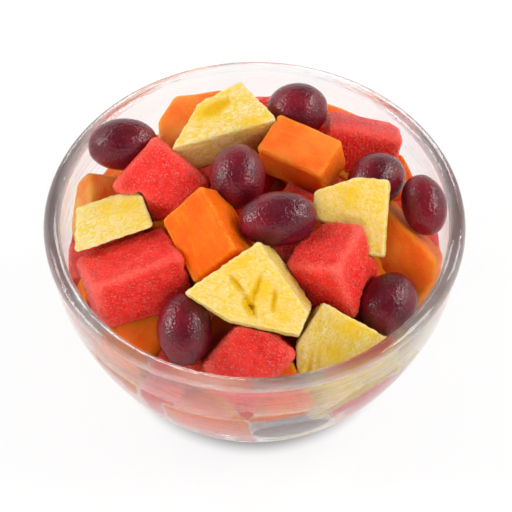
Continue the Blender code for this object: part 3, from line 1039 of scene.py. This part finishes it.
def shown_rooms():
    """A swollen copy of each named piece of fruit, with its tree, to cut the heap back from."""
    rooms = []
    for node in sorted(set(NODES) - {"bowl", "lower_fruit"}):
        if node in LOW_NODES:
            suffix = "berry" if kind_of(node) == "grape" else "cut"
            mesh = bpy.data.objects[f"{node}_{suffix}"].data
        else:
            mesh = node_solid(node)
        solid = swollen(mesh, CLEARANCE)
        rooms.append((link(f"{node}_room", solid), tree_of(solid)))
    return rooms


def build_heap(settings, finishes):
    """The pieces under the top layer, one object for each fruit, round a plain core."""
    wall = Wall(settings.bowl)
    hollow = link("hollow", turned("hollow", heap_room_profile(settings), 64))
    cutters = shown_rooms()
    lumps = {"watermelon": [], "papaya": [], "pineapple": [], "grape": []}
    for i, (kind, place, size) in enumerate(heap_pieces(settings.heap, wall)):
        if kind == "grape":
            mesh, tree = berry_in_gap(size, place, i, [other for _, other in cutters])
            if mesh is not None:
                cutters.append((link("berry_room", swollen(mesh, CLEARANCE)), tree))
                set_corners(mesh, wall.pressed(corners(mesh), 0.5 * MM, 1.2 * MM))
                lumps[kind].append(mesh)
                continue
            kind = "watermelon"
        block = block_mesh("block", size)
        block.transform(place)
        tree = tree_of(block)
        near = [cutter for cutter, other in cutters if tree.overlap(other)]
        room = swollen(block, CLEARANCE)
        piece = largest_lump(trimmed(block, near, hollow))
        cutters.append((link("block_room", room), tree))
        if piece is not None:
            lumps[kind].append(dressed(piece, kind, i + 20, settings.heap.voxel, wall))
    for helper in [cutter for cutter, _ in cutters] + [hollow]:
        bpy.data.objects.remove(helper)
    core_shape = turned("heap_core", heap_core_profile(settings), 64)
    core = link("heap_core", core_shape, [finishes["core"]])
    place_piece(core, ["lower_fruit"])
    for kind, meshes in lumps.items():
        piece = joined(f"lower_{kind}", meshes, finishes[kind])
        place_piece(piece, ["lower_fruit"])


def heap_room_profile(settings):
    """The room that the pieces under the top layer share: a low dome over the inside wall."""
    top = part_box("lower_fruit")[1].z
    dome = [(0.0, top + 2.0 * MM), (28.0 * MM, top - 1.0 * MM), (46.0 * MM, top - 7.0 * MM),
            (58.0 * MM, top - 13.0 * MM)]
    wall = [(radius - 0.40 * MM, height) for radius, height in inside_wall(settings.bowl)
            if height < top - 17.0 * MM]
    wall.reverse()
    return dome + wall + [(0.0, settings.bowl.floor)]


def heap_core_profile(settings):
    """The core's outline: the heap's, drawn in by most of a piece."""
    inset = settings.heap.shell * 0.75
    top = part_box("lower_fruit")[1].z - inset
    wall = [(radius - inset, height + inset * 0.3)
            for radius, height in inside_wall(settings.bowl) if height < top - 12.0 * MM]
    wall.reverse()
    return [(0.0, top), (wall[0][0] * 0.55, top - 2.0 * MM)] + wall + [(0.0, wall[-1][1])]


def joined(name, meshes, material):
    """One object from many meshes, attributes kept."""
    parts = [link(f"{name}_{i}", mesh) for i, mesh in enumerate(meshes)]
    with bpy.context.temp_override(
            active_object=parts[0], object=parts[0], selected_objects=parts,
            selected_editable_objects=parts):
        bpy.ops.object.join()
    parts[0].name = name
    parts[0].data.materials.clear()
    parts[0].data.materials.append(material)
    return parts[0]


# ---------------------------------------------------------------- the stage

# Each lamp: name, direction from the bowl, distance in m, size in m and power in watts.
LAMPS = (
    ("softbox_left", (-0.87, -0.03, 0.49), 0.9, (0.36, 0.32), 4.0),
    ("softbox_right", (0.75, -0.10, 0.65), 0.9, (0.30, 0.30), 3.3),
    ("fill_front", (-0.10, -0.86, 0.50), 1.1, (0.80, 0.60), 5.2),
    ("glint_left", (-0.66, 0.36, 0.66), 1.0, (0.22, 0.16), 1.3),
    ("glint_right", (0.71, 0.40, 0.56), 1.0, (0.20, 0.20), 2.4),
)

# The lamps that draw bright lines in the rim, and light the glass alone.
RIM_LAMPS = (
    ("rim_left", (0.32, 0.86, 0.42), 1.0, (0.55, 0.55), 9.0),
    ("rim_right", (-0.40, 0.86, 0.36), 1.0, (0.30, 0.30), 2.4),
)


def softbox(name, direction, distance, size, power, glossy=True, only=None):
    """An area lamp that shines on the bowl from one direction, or on one piece only."""
    lamp = bpy.data.lights.new(name, "AREA")
    lamp.shape = "RECTANGLE"
    lamp.size, lamp.size_y = size
    lamp.energy = power
    made = link(name, lamp)
    made.visible_glossy = glossy
    if only is not None:
        lit = bpy.data.collections.new(f"lit_by_{name}")
        lit.objects.link(only)
        made.light_linking.receiver_collection = lit
    outward = Vector(direction).normalized()
    made.location = Vector((0.0, 0.0, RIM_HEIGHT)) + outward * distance
    made.rotation_euler = (-outward).to_track_quat("-Z", "Y").to_euler()


def build_room(stage):
    """A pale room all round, with the dark patch that stands behind a camera in a studio."""
    world = bpy.data.worlds.new("room")
    world.use_nodes = True
    room = Nodes(world.node_tree)
    direction = room.node("ShaderNodeTexCoord").outputs["Generated"]
    behind = Vector((0.0, -0.72, 0.69)).normalized()
    facing = room.vector("DOT_PRODUCT", direction, behind).outputs["Value"]
    patch = room.ramp(facing, 0.84, 0.98, 1.0, 0.12)
    height = room.node("ShaderNodeSeparateXYZ", {0: direction}).outputs["Z"]
    walls = room.ramp(height, 0.25, 0.75, stage.world, stage.world * stage.ceiling)
    back = world.node_tree.nodes["Background"]
    room.feed(back.inputs["Color"], (1.0, 0.99, 0.98))
    room.feed(back.inputs["Strength"], room.times(patch, walls))
    bpy.context.scene.world = world


def build_floor(stage):
    """A plain pale floor that glows softly as if lit from below, with a painted glow right under
    the foot and a ring of painted shadow round it.
    """
    bm = bmesh.new()
    bmesh.ops.create_grid(bm, x_segments=4, y_segments=4, size=3.0)
    finish = Finish("floor_plain")
    place = finish.node("ShaderNodeTexCoord").outputs["Object"]
    away = finish.vector("LENGTH", place).outputs["Value"]
    # Painted light: right under the foot the floor glows brightly.
    under = finish.ramp(away, 42.5 * MM, 46.0 * MM, stage.under_glow, 0.0)
    # Painted shadow: a ring round the foot with no glow, and an even glow beyond it.
    glow_past_painted_shadow = finish.ramp(away, 45.0 * MM, 56.0 * MM, 0.0, stage.floor_glow)
    material = finish.principled(
        base_color=stage.floor_colour, roughness=0.9, emission_color=(1.0, 1.0, 1.0),
        emission_strength=finish.math("MAXIMUM", under, glow_past_painted_shadow))
    floor = link("floor", filled("floor", bm), [material])
    floor.location.z = -0.2 * MM


def build_camera(stage):
    """The camera, well above the bowl and in front of it."""
    camera = bpy.data.cameras.new("camera")
    camera.lens = stage.lens
    camera.sensor_width = 36.0
    camera.clip_start = 0.01
    view = link("camera", camera)
    view.location = stage.camera_place
    view.rotation_euler = (stage.camera_tilt, 0.0, stage.camera_yaw)
    bpy.context.scene.camera = view


def build_stage(stage):
    """The floor, the pale room, the lamps and the camera, and how light is followed in glass."""
    build_floor(stage)
    build_room(stage)
    for name, direction, distance, size, power in LAMPS:
        softbox(name, direction, distance, size, power, glossy=name != "fill_front")
    glass = bpy.data.objects.get("bowl_glass")
    if glass is not None:
        for name, direction, distance, size, power in RIM_LAMPS:
            softbox(name, direction, distance, size, power, only=glass)
    build_camera(stage)
    scene = bpy.context.scene
    scene.view_settings.view_transform = "Standard"
    scene.cycles.max_bounces = 24
    scene.cycles.glossy_bounces = 12
    scene.cycles.transmission_bounces = 24


# ---------------------------------------------------------------- operators

class Step:
    """One step of dressing the fruit salad, from the scene's settings."""

    def execute(self, context):
        self.build(context.scene.fruit_salad)
        return {"FINISHED"}


class ChunkStep(Step):
    """The step for the cut pieces of one fruit."""

    def build(self, settings):
        build_chunks(self.kind, FLESH_FINISHES[self.kind](settings.fruit), settings)


class FRUITSALAD_OT_bowl(Step, bpy.types.Operator):
    """Turn the clear glass bowl"""

    bl_idname = "fruit_salad.bowl"
    bl_label = "Glass Bowl"

    def build(self, settings):
        build_bowl(settings.bowl)


class FRUITSALAD_OT_grapes(Step, bpy.types.Operator):
    """Dress the whole grapes"""

    bl_idname = "fruit_salad.grapes"
    bl_label = "Grapes"

    def build(self, settings):
        build_grapes(settings)


class FRUITSALAD_OT_watermelon(ChunkStep, bpy.types.Operator):
    """Dress the cut watermelon"""

    bl_idname = "fruit_salad.watermelon"
    bl_label = "Watermelon"
    kind = "watermelon"


class FRUITSALAD_OT_papaya(ChunkStep, bpy.types.Operator):
    """Dress the cut papaya"""

    bl_idname = "fruit_salad.papaya"
    bl_label = "Papaya"
    kind = "papaya"


class FRUITSALAD_OT_pineapple(ChunkStep, bpy.types.Operator):
    """Dress the cut pineapple"""

    bl_idname = "fruit_salad.pineapple"
    bl_label = "Pineapple"
    kind = "pineapple"


class FRUITSALAD_OT_heap(Step, bpy.types.Operator):
    """Fill the bowl under the top layer with real pieces round a core"""

    bl_idname = "fruit_salad.heap"
    bl_label = "Lower Fruit"

    def build(self, settings):
        finishes = {kind: bpy.data.materials[f"{kind}_flesh_wet"] for kind in FLESH_FINISHES}
        finishes["grape"] = bpy.data.materials["grape_skin_bloomed"]
        finishes["core"] = core_finish(settings.fruit)
        build_heap(settings, finishes)


class FRUITSALAD_OT_stage(Step, bpy.types.Operator):
    """Set the floor, the soft light and the camera"""

    bl_idname = "fruit_salad.stage"
    bl_label = "Stage"

    def build(self, settings):
        build_stage(settings.stage)


STEPS = (
    FRUITSALAD_OT_bowl,
    FRUITSALAD_OT_grapes,
    FRUITSALAD_OT_watermelon,
    FRUITSALAD_OT_papaya,
    FRUITSALAD_OT_pineapple,
    FRUITSALAD_OT_heap,
    FRUITSALAD_OT_stage,
)


class FRUITSALAD_PT_sidebar(bpy.types.Panel):
    """Lists the steps that dress the fruit salad"""

    bl_idname = "FRUITSALAD_PT_sidebar"
    bl_label = "Fruit Salad"
    bl_space_type = "VIEW_3D"
    bl_region_type = "UI"
    bl_category = "Fruit Salad"

    def draw(self, context):
        column = self.layout.column()
        for step in STEPS:
            column.operator(step.bl_idname)
        settings = context.scene.fruit_salad
        for group in (settings.bowl, settings.fruit, settings.heap, settings.stage):
            box = self.layout.box()
            for name in group.__annotations__:
                box.prop(group, name)


CLASSES = (
    FruitSaladBowlSettings,
    FruitSaladFruitSettings,
    FruitSaladHeapSettings,
    FruitSaladStageSettings,
    FruitSaladSettings,
    *STEPS,
    FRUITSALAD_PT_sidebar,
)


def register():
    for cls in CLASSES:
        bpy.utils.register_class(cls)
    bpy.types.Scene.fruit_salad = PointerProperty(type=FruitSaladSettings)


def unregister():
    del bpy.types.Scene.fruit_salad
    for cls in reversed(CLASSES):
        bpy.utils.unregister_class(cls)


def main():
    register()
    bpy.ops.fruit_salad.bowl()
    bpy.ops.fruit_salad.grapes()
    bpy.ops.fruit_salad.watermelon()
    bpy.ops.fruit_salad.papaya()
    bpy.ops.fruit_salad.pineapple()
    bpy.ops.fruit_salad.heap()
    bpy.ops.fruit_salad.stage()
    bpy.context.view_layer.update()


if __name__ == "__main__":
    main()
